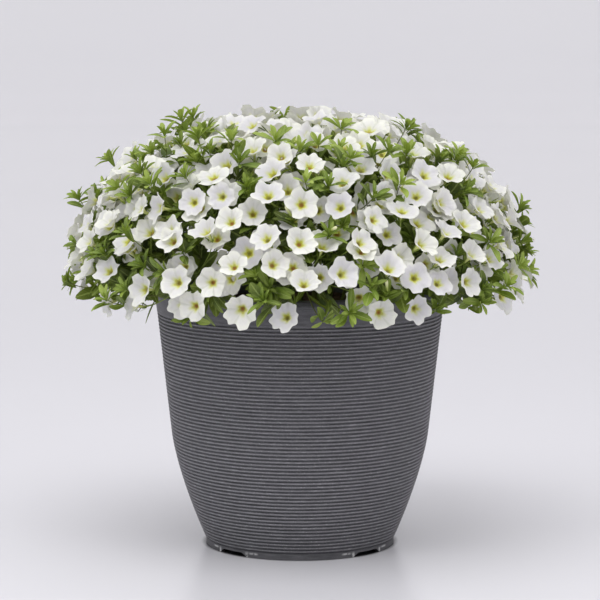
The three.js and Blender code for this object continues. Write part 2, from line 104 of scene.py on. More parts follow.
DRILL_DEPTH = 0.009
DRILL_SIDES = 20
SOIL_TOP = 0.245
SOIL_GAP = 0.0006
SOIL_STEPS = 72
SOIL_RINGS = 30
SOIL_LUMPS = 0.0022
SOIL_SINK = 0.8
LUMP_SCALE = 90
CRUMB_SCALE = 260

# ---- The dome of the plant and its branches

WAIST_RADIUS = 0.235
WAIST_HEIGHT = 0.281
CROWN = 0.163
SKIRT = 0.052
DOME_POWER = 2.2
TILT_POWER = 0.93
FACING_HEIGHT = 0.190
SPREAD_PULL = 0.3
LEAST_SPREAD = 0.45
BRANCH_RINGS = ((0, 1, 0), (31, 6, 12), (58, 9, 0), (86, 11, 9))
SEAT_GAP = 0.0003
HOLE_DEPTH = 0.014
HOLE_SPREAD = 0.5
BENT_HOLE_SPREAD = 0.58
ELBOW_TILT = 75
ELBOW_HEIGHT = 0.284
ELBOW_RADIUS = 0.132
CORE_DEPTH = 0.056
CORE_HALF_THICKNESS = 0.006
HUB_HEIGHT = 0.008

# ---- Blooms

BLOOM_SEED = 20417
BLOOM_DARTS = 4200
BLOOM_COUNT = 244
BLOOM_SPACING = 0.021
BLOOM_LOWEST_TILT = 96
BLOOM_SWAY = 0.42
OVER_HUB_SWAY = 0.04
BLOOM_LOBES = 5
BLOOM_RADII = (0.0144, 0.0172)
BLOOM_INSETS = (0, 0.0025, 0.005, 0.0075, 0.01, 0.0125, 0.015)
THROAT_DEPTH = 0.0065
NECK_DEPTH = 0.0105
NECK_RADIUS = 0.0024
RIM_SAMPLES = 20
STALK_SAMPLES = (0.1, 0.3, 0.5, 0.7, 0.9)
CLEARANCE = 0.0008

# ---- Shoots, with the reach and the rise of the leaves in their whorls

SHOOT_SEED = 7331
SHOOT_DARTS = 1500
SHOOT_COUNT = 96
SHOOT_SPACING = 0.034
SHOOT_LOWEST_TILT = 102
SHOOT_SWAY = 0.3
SHOOT_INSETS = (0.003, 0.007, 0.011, 0.015, 0.019, 0.023, 0.027)
SHOOT_LEAVES = ((0.023, 0.005), (0.015, 0.009))
WHORL_LEAVES = 6
LEAF_SAMPLES = (0.25, 0.5, 0.75, 1)


# ---- The rule that places blooms and shoots

DRAW_FACTOR = 48271
DRAW_RANGE = 2147483647


def unit(vector):
    return vector / np.linalg.norm(vector)


def draws_from(seed):
    """Seeded draws between two values."""

    def draw(low, high):
        nonlocal seed
        seed = seed * DRAW_FACTOR % DRAW_RANGE
        return low + (high - low) * seed / DRAW_RANGE

    return draw


def swayed(draw, most):
    return draw(-most, most)


def on_dome(tilt, turn, inset):
    """The point and outward direction at a tilt from the top and a turn, some depth inside."""
    rise = SKIRT if math.cos(tilt) < 0 else CROWN
    side = math.sin(tilt) / WAIST_RADIUS
    lift = abs(math.cos(tilt)) / rise
    reach = (side**DOME_POWER + lift**DOME_POWER) ** (-1 / DOME_POWER)
    radius = reach * math.sin(tilt)
    height = reach * math.cos(tilt)
    slope_out = (radius / WAIST_RADIUS) ** (DOME_POWER - 1) / WAIST_RADIUS
    slope_up = math.copysign((abs(height) / rise) ** (DOME_POWER - 1) / rise, height)
    outward = unit(np.array([math.cos(turn) * slope_out, math.sin(turn) * slope_out, slope_up]))
    place = [math.cos(turn) * radius, math.sin(turn) * radius, WAIST_HEIGHT + height]
    return np.array(place) - outward * inset, outward


def facing_from(point, root, sway, draw):
    """The way that a bloom or shoot grows: away from the plant's middle and from its root."""
    facing = unit(point - np.array([0, 0, FACING_HEIGHT]))
    facing = unit(facing + np.array([swayed(draw, sway) for _ in range(3)]))
    away = unit(point - root)
    facing = unit(facing + away * SPREAD_PULL)
    while facing @ away < LEAST_SPREAD:
        facing = unit(facing + away * SPREAD_PULL)
    return facing


def drawn_tilt(lowest, draw):
    share = draw(0, 1) ** TILT_POWER
    return math.acos(1 - (1 - math.cos(math.radians(lowest))) * share)


class Item:
    """Something that grows at a point, facing a way: a core, a bloom or a shoot."""

    def __init__(self, point, facing, **facts):
        self.point = point
        self.facing = facing
        self.across = unit(np.array([1e-12 - facing[1], facing[0], 0]))
        self.over = np.cross(facing, self.across)
        self.__dict__.update(facts)

    def at(self, angle, radius, rise):
        """A point at an angle, radius and rise in the item's own frame."""
        sideways = self.across * math.cos(angle) + self.over * math.sin(angle)
        return self.point + sideways * radius + self.facing * rise


def placed_branches():
    hub_inset = CORE_DEPTH - CORE_HALF_THICKNESS - SEAT_GAP - HUB_HEIGHT / 2
    branches = []
    for ring_tilt, count, first_turn in BRANCH_RINGS:
        for step in range(count):
            tilt = math.radians(ring_tilt)
            turn = math.radians(first_turn) + FULL_TURN * step / count
            core, outward = on_dome(tilt, turn, CORE_DEPTH)
            branch = Item(core, outward, tilt=tilt, turn=turn, bends=ring_tilt > ELBOW_TILT)
            branch.tip = on_dome(tilt, turn, 0)[0]
            branch.hub = on_dome(tilt, turn, hub_inset)[0]
            branches.append(branch)
    return branches


def landed(branches, tilt, turn):
    """The point where a dart lands on the dome, and the branch that is nearest to it."""
    point = on_dome(tilt, turn, 0)[0]
    return point, min(branches, key=lambda branch: np.linalg.norm(branch.tip - point))


def keeps_clear(bloom, points):
    """Whether points all lie on one side of a bloom's funnel, and none of them in it."""
    offset = points - bloom.point
    rise = offset @ bloom.facing
    radius = np.sqrt(np.maximum(0, (offset**2).sum(axis=1) - rise**2))
    inside = np.maximum(0, bloom.radius - radius)
    within = radius <= bloom.radius + CLEARANCE
    flare = np.minimum(1, inside / (bloom.radius - NECK_RADIUS))
    front = rise > -THROAT_DEPTH * inside / bloom.radius + CLEARANCE
    behind = ~front & (rise < -NECK_DEPTH * flare - CLEARANCE)
    if np.any(within & ~front & ~behind):
        return False
    return not (np.any(within & front) and np.any(within & behind))


def bloom_at(point, facing, radius, spin, branch):
    bloom = Item(point, facing, radius=radius, spin=spin, branch=branch)
    turns = [FULL_TURN * step / RIM_SAMPLES for step in range(RIM_SAMPLES)]
    bloom.rim = np.array([bloom.at(turn, radius, 0) for turn in turns])
    neck = bloom.at(0, 0, -NECK_DEPTH)
    bloom.stalk = np.array([neck + (branch.hub - neck) * share for share in STALK_SAMPLES])
    return bloom


def faces_apart(one, other):
    return keeps_clear(one, other.rim) and keeps_clear(other, one.rim)


def blooms_apart(one, other):
    gap = np.linalg.norm(one.point - other.point)
    if gap > 2 * (NECK_DEPTH + BLOOM_RADII[1]):
        return True
    if gap < BLOOM_SPACING or not faces_apart(one, other):
        return False
    return keeps_clear(one, other.stalk) and keeps_clear(other, one.stalk)


def placed_blooms(branches):
    """Darts on the dome, the first ones over the hubs, each as far out as its neighbours let it."""
    draw = draws_from(BLOOM_SEED)
    blooms = []
    for dart in range(BLOOM_DARTS):
        if len(blooms) == BLOOM_COUNT:
            break
        over = branches[dart] if dart < len(branches) else None
        tilt = over.tilt + draw(0, OVER_HUB_SWAY) if over else drawn_tilt(BLOOM_LOWEST_TILT, draw)
        turn = over.turn + draw(0, OVER_HUB_SWAY) if over else draw(0, FULL_TURN)
        radius = draw(*BLOOM_RADII)
        spin = draw(0, FULL_TURN / BLOOM_LOBES)
        reached, branch = landed(branches, tilt, turn)
        facing = facing_from(reached, branch.hub, BLOOM_SWAY, draw)
        for inset in BLOOM_INSETS:
            bloom = bloom_at(on_dome(tilt, turn, inset)[0], facing, radius, spin, branch)
            if all(blooms_apart(bloom, other) for other in blooms):
                blooms.append(bloom)
                break
    return blooms


def whorl_points(shoot):
    """Points along the leaves of a shoot's whorl."""
    points = []
    for leaf in range(WHORL_LEAVES):
        angle = shoot.spin + FULL_TURN * leaf / WHORL_LEAVES
        length, rise = shoot.leaves[leaf % 2]
        points += [shoot.at(angle, length * share, rise * share) for share in LEAF_SAMPLES]
    return np.array(points)


def placed_shoots(branches, blooms):
    """Darts too. Each whorl is as far out as the blooms let it be."""
    draw = draws_from(SHOOT_SEED)
    shoots = []
    for _ in range(SHOOT_DARTS):
        if len(shoots) == SHOOT_COUNT:
            break
        tilt = drawn_tilt(SHOOT_LOWEST_TILT, draw)
        turn = draw(0, FULL_TURN)
        spin = draw(0, FULL_TURN)
        reached, branch = landed(branches, tilt, turn)
        facing = facing_from(reached, branch.point, SHOOT_SWAY, draw)
        for inset in SHOOT_INSETS:
            point = on_dome(tilt, turn, inset)[0]
            shoot = Item(point, facing, spin=spin, branch=branch, leaves=SHOOT_LEAVES)
            if any(np.linalg.norm(other.point - point) < SHOOT_SPACING for other in shoots):
                continue
            leaves = whorl_points(shoot)
            if all(keeps_clear(bloom, leaves) for bloom in blooms):
                shoots.append(shoot)
                break
    return shoots


# ---- Blooms and sprigs that only the looks have

NEAR = 0.06
MORE_SEED = 5209
MORE_DARTS = 6000
MORE_COUNT = 265
MORE_LOWEST_TILT = 88
MORE_SWAY = 0.5
MORE_LIFT = 0.1
MORE_LEAN = 0.7
SUNNY_LEAN = 0.4
MORE_RADII = (0.0138, 0.0170)
MORE_INSETS = (0.001, 0.005, 0.009, 0.013, 0.017, 0.021)
CROWN_EDGE = 0.7  # A tilt in radians
FILLER_SEED = 915
FILLER_DARTS = 2600
FILLER_COUNT = 270
FILLER_SPACING = 0.0155
FILLER_LOWEST_TILT = 92
FILLER_LIFT = 0.6
FILLER_INSETS = (0.003, 0.008, 0.013, 0.018, 0.023, 0.028, 0.034)
FILLER_DEEPER = 3
FILLER_LEAVES = ((0.019, 0.006), (0.012, 0.008))
OUTER_DARTS = 500
OUTER_INSETS = (-0.009, -0.004)
OUTER_ROOM = 0.006
OPEN_SPACING = 0.026
TWIG_SAMPLES = (0.05, 0.1, 0.15, 0.2, 0.25, 0.3, 0.4, 0.5, 0.6)
TWIG_HANDLE = 0.45


def near(items, point, reach=NEAR):
    gaps = np.linalg.norm(np.array([item.point for item in items]) - point, axis=1)
    return [items[index] for index in np.flatnonzero(gaps < reach)]


def placed_more_blooms(branches, blooms, shoots):
    """Blooms between and behind the main ones, wherever their faces and the whorls leave room."""
    draw = draws_from(MORE_SEED)
    crowd = list(blooms)
    for _ in range(MORE_DARTS):
        if len(crowd) == len(blooms) + MORE_COUNT:
            break
        tilt = drawn_tilt(MORE_LOWEST_TILT, draw)
        turn = draw(0, FULL_TURN)
        radius = draw(*MORE_RADII)
        spin = draw(0, FULL_TURN / BLOOM_LOBES)
        reached, branch = landed(branches, tilt, turn)
        facing = facing_from(reached, branch.hub, MORE_SWAY, draw)
        outwards = np.array([math.cos(turn), math.sin(turn), 0])
        lean = MORE_LEAN * min(1, tilt / CROWN_EDGE) ** 2
        sunwards = SUNNY_LEAN * max(0, 1 - tilt / CROWN_EDGE)
        facing = unit(facing + lean * outwards + np.array([0, -sunwards, MORE_LIFT]))
        for inset in MORE_INSETS:
            point = on_dome(tilt, turn, inset)[0]
            bloom = bloom_at(point, facing, radius, spin, branch)
            if not all(faces_apart(bloom, other) for other in near(crowd, point)):
                continue
            if all(keeps_clear(bloom, whorl_points(shoot)) for shoot in near(shoots, point)):
                crowd.append(bloom)
                break
    return crowd


def along_bend(start, facing, root, share):
    """A point on the bend from behind a start to a root, and the way on from there."""
    handle = start - facing * np.linalg.norm(root - start) * TWIG_HANDLE
    point = (1 - share) ** 2 * start + 2 * share * (1 - share) * handle + share**2 * root
    return point, 2 * (1 - share) * (handle - start) + 2 * share * (root - handle)


def placed_fillers(branches, blooms, shoots):
    """Small sprigs: a few that stand out of the dome, and then others between the blooms."""
    draw = draws_from(FILLER_SEED)
    sprigs = list(shoots)
    for dart in range(FILLER_DARTS):
        if len(sprigs) == len(shoots) + FILLER_COUNT:
            break
        tilt = drawn_tilt(FILLER_LOWEST_TILT, draw)
        turn = draw(0, FULL_TURN)
        spin = draw(0, FULL_TURN)
        reached, branch = landed(branches, tilt, turn)
        facing = facing_from(reached, branch.point, SHOOT_SWAY, draw)
        facing = unit(facing + np.array([0, 0, FILLER_LIFT]))
        outer = dart < OUTER_DARTS
        insets = OUTER_INSETS if outer else FILLER_INSETS[int(draw(0, FILLER_DEEPER)) :]
        in_the_open = outer or tilt < CROWN_EDGE
        for inset in insets:
            point = on_dome(tilt, turn, inset)[0]
            room = min(np.min(point - BOX_LOW), np.min(BOX_HIGH - point))
            if outer and room < OUTER_ROOM:
                continue
            if near(sprigs, point, OPEN_SPACING if in_the_open else FILLER_SPACING):
                continue
            filler = Item(point, facing, spin=spin, branch=branch, leaves=FILLER_LEAVES, inset=inset)
            points = whorl_points(filler)
            if in_the_open:
                twig = [along_bend(point, facing, branch.point, share)[0] for share in TWIG_SAMPLES]
                points = np.vstack([points, twig])
            if all(keeps_clear(bloom, points) for bloom in near(blooms, point)):
                sprigs.append(filler)
                break
    return sprigs[len(shoots) :]


# ---- Materials


class Value:
    """A number in a material, so that shader maths can be written as an expression."""

    def __init__(self, finish, socket):
        self.finish = finish
        self.socket = socket

    def maths(self, operation, *values):
        settings = {"operation": operation}
        return Value(self.finish, self.finish.node("ShaderNodeMath", settings, *values))

    def __add__(self, other):
        return self.maths("ADD", self, other)

    def __sub__(self, other):
        return self.maths("SUBTRACT", self, other)

    def __rsub__(self, other):
        return self.maths("SUBTRACT", other, self)

    def __mul__(self, other):
        return self.maths("MULTIPLY", self, other)

    def __abs__(self):
        return self.maths("ABSOLUTE", self)

    __radd__ = __add__
    __rmul__ = __mul__

    def cosine(self):
        return self.maths("COSINE", self)

    def root(self):
        return self.maths("SQRT", self)

    def angle_to(self, across):
        """The angle of a point whose height is this value and whose width is another."""
        return self.maths("ARCTAN2", self, across)

    def eased(self, low, high):
        """0 below low, 1 above high and a smooth step between them, or the other way round."""
        settings = {"interpolation_type": "SMOOTHSTEP"}
        return Value(self.finish, self.finish.node("ShaderNodeMapRange", settings, self, low, high))


class Finish:
    """A material, with one Principled shader that its finish is plugged into."""

    def __init__(self, name):
        self.material = bpy.data.materials.new(name)
        self.material.use_nodes = True
        self.nodes = self.material.node_tree.nodes
        self.links = self.material.node_tree.links
        self.shader = self.nodes["Principled BSDF"]
        self.output = self.nodes["Material Output"]

    def plug(self, value, socket):
        if isinstance(value, Value):
            value = value.socket
        if isinstance(value, bpy.types.NodeSocket):
            self.links.new(value, socket)
        else:
            socket.default_value = value

    def node(self, kind, settings, *values, output=0, **named):
        """Adds a node, sets it up, and then plugs values into its sockets in order or by name."""
        made = self.nodes.new(kind)
        for setting, value in settings.items():
            setattr(made, setting, value)
        sockets = [socket for socket in made.inputs if socket.enabled]
        for socket, value in zip(sockets, values):
            self.plug(value, socket)
        for name, value in named.items():
            self.plug(value, made.inputs[name])
        outputs = [socket for socket in made.outputs if socket.enabled]
        return made.outputs[output] if output else outputs[0]

    def place(self):
        return self.node("ShaderNodeTexCoord", {}, output="Object")

    def parts(self, vector):
        """The three numbers of a vector."""
        made = self.nodes.new("ShaderNodeSeparateXYZ")
        self.plug(vector, made.inputs[0])
        return [Value(self, socket) for socket in made.outputs]

    def form(self):
        """A shape's own three coordinates, from before it was bent and set in its place."""
        settings = {"attribute_name": "form"}
        return self.parts(self.node("ShaderNodeAttribute", settings, output="Vector"))

    def tone(self):
        """One number for each bloom, leaf or twig: drawn, and for leaves lowered by painted shade the
        deeper they sit in the plant.
        """
        settings = {"attribute_name": "tone"}
        return Value(self, self.node("ShaderNodeAttribute", settings, output="Fac"))

    def grain(self, scale, detail=2.0, stretch=None, where=None):
        """Noise of a given scale, as a value from 0 to 1."""
        where = where or self.place()
        if stretch:
            where = self.node("ShaderNodeVectorMath", {"operation": "MULTIPLY"}, where, stretch)
        named = {"Vector": where, "Scale": scale, "Detail": detail}
        return Value(self, self.node("ShaderNodeTexNoise", {}, **named))

    def ramp(self, value, *stops):
        """Colours that stand at their places from 0 to 1, blended along a value."""
        made = self.nodes.new("ShaderNodeValToRGB")
        elements = made.color_ramp.elements
        while len(elements) < len(stops):
            elements.new(1.0)
        for element, (place, shade) in zip(elements, stops):
            element.position = place
            element.color = shade
        self.plug(value, made.inputs[0])
        return made.outputs["Color"]

    def mixed(self, share, low, high):
        """One colour over another by a share."""
        return self.node("ShaderNodeMix", {"data_type": "RGBA"}, share, low, high)

    def bumps(self, height, depth, strength=1.0):
        named = {"Height": height, "Distance": depth, "Strength": strength}
        self.plug(self.node("ShaderNodeBump", {}, **named), self.shader.inputs["Normal"])

    def thin(self, colour, share):
        """Lets a share of the light through, as a petal or a leaf does."""
        through = self.node("ShaderNodeBsdfTranslucent", {}, colour)
        both = self.node("ShaderNodeMixShader", {}, share, self.shader.outputs["BSDF"], through)
        self.links.new(both, self.output.inputs["Surface"])

    def set(self, **sockets):
        for name, value in sockets.items():
            self.plug(value, self.shader.inputs[name.replace("_", " ")])
        return self


def colour(*levels):
    """A colour that is given as it looks, from 0 to 255, in the light values of a shader."""
    shown = Color([level / 255 for level in levels])
    return (*shown.from_srgb_to_scene_linear(), 1)


PETAL_COOL = colour(224, 222, 229)
PETAL_WARM = colour(246, 246, 238)
# Painted shade for the creases of the petals, and the colour of their faint vein streaks
PETAL_VEIN_AND_CREASE_SHADE = colour(196, 199, 186)
PETAL_GLOW = colour(236, 236, 220)
PETAL_THINNESS = 0.3
EYE_HALO = colour(222, 228, 128)
EYE_YELLOW = colour(204, 202, 48)
EYE_OLIVE = colour(138, 128, 34)
EYE_BROWN = colour(168, 112, 40)
TUBE_PALE = colour(204, 210, 132)
LEAF_DARK = colour(36, 52, 12)
LEAF_MIDDLE = colour(100, 124, 38)
LEAF_LIGHT = colour(168, 186, 92)
LEAF_RIB = colour(172, 188, 106)
LEAF_GLOW = colour(152, 174, 52)
LEAF_THINNESS = 0.25
TWIG_GREEN = colour(104, 124, 54)
TWIG_BROWN = colour(92, 84, 48)
BUD_CREAM = colour(222, 222, 176)
BUD_GREEN = colour(170, 184, 92)
# Painted highlight on the crests of the ribs
PLASTIC_CREST_HIGHLIGHT = colour(122, 121, 126)
PLASTIC_GROOVE = colour(63, 63, 66)
# Pale flecks of the plastic, and the colour of the painted glints on the crests
PLASTIC_FLECK_AND_GLINT = colour(164, 164, 168)
PLASTIC_SCUFF = colour(196, 196, 196)
SOIL_DARK = colour(34, 25, 18)
SOIL_LIGHT = colour(88, 66, 46)
FLOOR_PALE = colour(232, 231, 235)
FLOOR_SHADE = colour(219, 218, 223)
# Painted contact shadow under the planter's foot
FLOOR_CONTACT_SHADOW = colour(30, 30, 33)

# Where one look gives way to another: shares of a bloom's radius, and of a leaf's half width and
# length from -1 to 1, depths along a tube or bud, and distances on the planter and the floor.

HALO_EDGE = (0.40, 0.15)
YELLOW_EDGE = (0.23, 0.13)
HEART_EDGE = (0.16, 0.07)
BROWN_HEARTS = (0.45, 0.85)
CREASE_SIDE = (-0.55, -0.95)
CREASE_START = (0.2, 0.45)
STREAK_EDGE = (0.5, 0.8)
PETAL_RIM_HIGHLIGHT = (0.7, 1.1)
STREAK_STRETCH = (5, 1.2, 40)
TUBE_FOOT = (-0.019, -0.014)
BUD_CHEEK = (0.003, 0.011)
RIB_SIDE = (0.2, 0.04)
VEIN_SIDE = (0.7, 1.0)
VEIN_REACH = (0.9, 0.3)
LEAF_TIP = (-0.2, 1.2)
WEAR_STRETCH = (1, 1, 6)
GLINT_STRETCH = (1, 1, 5)
SCUFF_CORNER = 0.70
SCUFF_STREAK = 0.42
STREAK_HEIGHT = 0.0038
FLOOR_SHADED = (4.0, 0.8)


def petal_finish():
    """White petals with faint creases and painted shade along them, round a yellow eye that is olive or
    brown at its middle.
    """
    finish = Finish("petal")
    across, over, _ = finish.form()
    radius = (across * across + over * over).root()
    angle = over.angle_to(across)
    tone = finish.tone()
    lobes = (angle * BLOOM_LOBES).cosine()
    turns, lengths, spread = STREAK_STRETCH
    where = finish.node("ShaderNodeCombineXYZ", {}, angle * turns, radius * lengths, tone * spread)
    streaks = finish.grain(2.6, 3.0, where=where)
    crease = (lobes + streaks * 0.3).eased(*CREASE_SIDE) * radius.eased(*CREASE_START)
    # Painted shade: the petals are darkened along the creases between their lobes, with faint vein
    # streaks mixed in.
    shade = crease * tone * 0.6 + streaks.eased(*STREAK_EDGE) * 0.3
    # Each bloom's tone and its vein streaks mix the white from cool to warm, and a painted highlight
    # lightens the rim of each petal.
    warmth_and_rim_highlight = tone * 0.8 + streaks * 0.6 + radius.eased(*PETAL_RIM_HIGHLIGHT) * 0.5 - 0.4
    white = finish.mixed(shade, finish.mixed(warmth_and_rim_highlight, PETAL_COOL, PETAL_WARM), PETAL_VEIN_AND_CREASE_SHADE)
    star = radius - lobes * 0.04 - streaks * 0.06
    haloed = finish.mixed(star.eased(*HALO_EDGE), white, EYE_HALO)
    eyed = finish.mixed(star.eased(*YELLOW_EDGE), haloed, EYE_YELLOW)
    heart = finish.mixed(tone.eased(*BROWN_HEARTS), EYE_OLIVE, EYE_BROWN)
    finish.bumps(streaks - crease * 0.6, 0.0004, 0.5)
    finish.thin(PETAL_GLOW, PETAL_THINNESS)
    return finish.set(
        Base_Color=finish.mixed(radius.eased(*HEART_EDGE), eyed, heart),
        Roughness=0.55,
        Specular_IOR_Level=0.3,
    )


def stalk_finish():
    """The pale tube of a bloom, and the green stalk that it runs down into."""
    finish = Finish("stalk")
    _, _, depth = finish.form()
    green = finish.mixed(finish.grain(260), TWIG_GREEN, LEAF_LIGHT)
    return finish.set(
        Base_Color=finish.mixed(depth.eased(*TUBE_FOOT), green, TUBE_PALE),
        Roughness=0.55,
        Specular_IOR_Level=0.35,
    )


def leaf_finish():
    """Green leaves, each with a tone of its own that painted shade darkens deeper in the plant, a pale
    rib and a lighter tip.
    """
    finish = Finish("leaf")
    across, along, _ = finish.form()
    patches = finish.grain(55)
    share = finish.tone() * 0.85 + patches * 0.6 - 0.22
    blade = finish.ramp(share, (0.0, LEAF_DARK), (0.5, LEAF_MIDDLE), (1.0, LEAF_LIGHT))
    tipped = finish.mixed(along.eased(*LEAF_TIP) * 0.35, blade, LEAF_LIGHT)
    side = abs(across)
    rib = side.eased(*RIB_SIDE)
    slanted = ((along * 4 - side * 1.6) * FULL_TURN).cosine()
    veins = slanted.eased(*VEIN_SIDE) * side.eased(*VEIN_REACH)
    finish.bumps(patches * 0.3 - rib - veins * 0.4, 0.0004, 0.6)
    finish.thin(LEAF_GLOW, LEAF_THINNESS)
    return finish.set(
        Base_Color=finish.mixed(rib * 0.55 + veins * 0.18, tipped, LEAF_RIB),
        Roughness=patches * 0.2 + 0.42,
        Specular_IOR_Level=0.4,
    )


def twig_finish():
    finish = Finish("twig")
    bark = finish.mixed(finish.grain(120, 3.0), TWIG_BROWN, TWIG_GREEN)
    finish.bumps(finish.grain(900), 0.0002)
    return finish.set(Base_Color=bark, Roughness=0.7, Specular_IOR_Level=0.3)


def bud_finish():
    """A furled bud, green at its foot and cream at its tip."""
    finish = Finish("bud")
    _, _, along = finish.form()
    finish.bumps(finish.grain(700), 0.0003)
    furled = finish.mixed(along.eased(*BUD_CHEEK), BUD_GREEN, BUD_CREAM)
    return finish.set(Base_Color=furled, Roughness=0.55)


def foot_scuffs(finish, x, y, z):
    """Pale scuffs beside the notches of the foot."""
    turn = (y.angle_to(x) * NOTCH_COUNT).cosine()
    corner = abs(turn + SCUFF_CORNER).eased(0.07, 0.01) * z.eased(0.0060, 0.0030)
    height = abs(z - STREAK_HEIGHT)
    streak = abs(turn + SCUFF_STREAK).eased(0.26, 0.06) * height.eased(0.0014, 0.0003)
    return (corner * 0.8 + streak * 0.7) * finish.grain(420, 3.0).eased(0.30, 0.55)


def planter_finish():
    """Dark grey moulded plastic with pale flecks, with a painted highlight that makes it lighter on the
    crests of its ribs, and painted shade in the grooves.
    """
    finish = Finish("planter")
    x, y, z = finish.parts(finish.place())
    above_foot = z.eased(FOOT_HEIGHT, FOOT_HEIGHT + RIB_PITCH)
    ribbed = above_foot * z.eased(BAND_BOTTOM + RIB_PITCH, BAND_BOTTOM)
    wave = (z - FOOT_HEIGHT - RIB_CREST * RIB_PITCH) * (FULL_TURN / RIB_PITCH)
    crest = wave.cosine() * 0.5 + 0.5
    flecks = finish.grain(1100, 1.0).eased(0.60, 0.70)
    wear = finish.grain(70, 4.0, WEAR_STRETCH)
    glints = finish.grain(150, 2.0, GLINT_STRETCH).eased(0.56, 0.72)
    # Painted highlight and shade: the crests of the ribs are lightened and the grooves left dark, as
    # light would fall on them. The highlight weakens towards the bottom, and the smooth foot and band
    # stay dark. Wear mottling is mixed in as well.
    height = ribbed * crest * crest * (z.eased(0, 0.05) * 0.4 + 0.6) + (1 - ribbed) * 0.1
    plain = finish.mixed(height * 0.85 + wear * 0.7 - 0.27, PLASTIC_GROOVE, PLASTIC_CREST_HIGHLIGHT)
    # Painted glints: short bright dashes along the crests. After them come the pale flecks of the
    # plastic, shown more strongly on the crests.
    worn_with_glints = finish.mixed(glints * crest * ribbed * 0.35, plain, PLASTIC_FLECK_AND_GLINT)
    flecked = finish.mixed(flecks * (ribbed * (0.15 + crest * 0.45) + 0.08), worn_with_glints, PLASTIC_FLECK_AND_GLINT)
    finish.bumps(finish.grain(1500), 0.00015, 0.5)
    return finish.set(
        Base_Color=finish.mixed(foot_scuffs(finish, x, y, z), flecked, PLASTIC_SCUFF),
        Roughness=finish.grain(14, 3.0) * 0.15 + 0.5,
        Specular_IOR_Level=0.45,
    )


def soil_finish():
    finish = Finish("soil")
    crumbs = finish.grain(180, 4.0)
    finish.bumps(crumbs, 0.002)
    return finish.set(
        Base_Color=finish.ramp(crumbs, (0.3, SOIL_DARK), (0.75, SOIL_LIGHT)),
        Roughness=0.95,
        Specular_IOR_Level=0.2,
    )


def floor_finish():
    """A pale floor with painted shade that grows towards the planter, and a painted contact shadow that
    is dark where the planter keeps the light out.
    """
    finish = Finish("floor")
    x, y, _ = finish.parts(finish.place())
    radius = (x * x + y * y).root()
    # Painted shade: the floor is darker near the planter and paler far away, with a little grain mixed
    # in.
    shade = radius.eased(*FLOOR_SHADED) * 0.8 + finish.grain(0.8) * 0.2
    # Painted contact shadow: nearly black under the foot and just round it, so that the notches look
    # dark.
    under = radius.eased(FOOT_RADIUS + 6 * MM, FOOT_RADIUS - MM)
    pale = finish.mixed(shade, FLOOR_PALE, FLOOR_SHADE)
    return finish.set(Base_Color=finish.mixed(under, pale, FLOOR_CONTACT_SHADOW), Roughness=0.25)


# ---- Making meshes and objects


def mesh_of(name, bm, *finishes):
    mesh = bpy.data.meshes.new(name)
    bm.to_mesh(mesh)
    bm.free()
    for finish in finishes:
        mesh.materials.append(finish.material)
    return mesh


def object_of(name, data):
    made = bpy.data.objects.new(name, data)
    bpy.context.scene.collection.objects.link(made)
    return made


def piece_of(name, bm, slot, node, *finishes):
    """A piece that rides with the model and takes the place of one of its nodes."""
    piece = object_of(name, mesh_of(name, bm, *finishes))
    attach(piece, "root")
    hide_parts(node)
    return piece


def face_up(bm):
    """Turns an open surface over if its faces look down."""
    if sum(face.normal.z for face in bm.faces) < 0:
        bmesh.ops.reverse_faces(bm, faces=bm.faces)


# ---- Shapes that are set in place many times. Rings are given as (radius, height), and a twig
# hangs down from its tip with a radius and a length of about 1.

COROLLA_SEED = 100
COROLLA_SIDES = 30
COROLLA_RINGS = ((0.14, -0.0102), (0.44, -0.0026), (1.16, 0.0))
COROLLA_SPREADS = (0.0, 0.3, 1.0)
COROLLA_CUPS = (0.0004, -0.0018, 0.0016, -0.0006, 0.0028, 0.0010, -0.0028, 0.0020)
NOTCH_SHARE = 0.25
NOTCH_POWER = 3
NOTCH_DIP = 0.0024
DIMPLE_SHARE = 0.12
DIMPLE_POWER = 4
FRILL_SHARE = 0.20
RIM_WAVE = 0.0021
LOBE_SWAY = 0.0024
STALK_SIDES = 4
STALK_RADII = (0.0027, 0.0018, 0.0012, 0.0006, 0.0006)
STALK_HEIGHTS = (-0.0088, -0.0135, -0.0190, -0.0215, -0.0235)
SEPAL_LENGTH = 0.0095
SEPAL_WIDTH = 0.0019
SEPAL_ENDS = 0.4
SEPAL_TIP = 0.3
SEPAL_LEAN = 24
SEPAL_FOOT = (0, 0.0014, -0.0196)
TWIG_SIDES = 4
TWIG_RINGS = [(0.7 + 0.5 * share, -share) for share in (0, 1 / 3, 2 / 3, 1)]
BUD_SIDES = 5
BUD_RINGS = ((0.0009, 0.0), (0.0019, 0.003), (0.0017, 0.007), (0.0025, 0.011), (0.0006, 0.0135))
LEAF_WIDTHS = (0.22, 0.66, 1.0, 0.34)
LEAF_RISE = 0.12
LEAF_FORMS = ((0.10, 0.22), (0.16, 0.10), (0.06, 0.34), (0.2, 0.02))
DEEP_LEAF_WIDTHS = (0.3, 1.0, 0.2)
DEEP_LEAF_CURL = 0.2


class Shape:
    """A small mesh whose copies are bent and set in place. It keeps its own coordinates."""

    def __init__(self, name, bm, finish):
        for face in bm.faces:
            face.smooth = True
            face.material_index = finish
        self.mesh = mesh_of(name, bm)
        self.places = np.array([vert.co for vert in self.mesh.vertices])

    def set_in(self, origin, *axes):
        """Its places in a frame of three axes, which stretch it by their lengths."""
        return origin + self.places @ np.array(axes)


def new_shape():
    bm = bmesh.new()
    bm.verts.layers.float_vector.new("form")
    bm.verts.layers.float.new("tone")
    return bm


def keep_form(bm, verts):
    form = bm.verts.layers.float_vector["form"]
    for vert in verts:
        vert[form] = vert.co


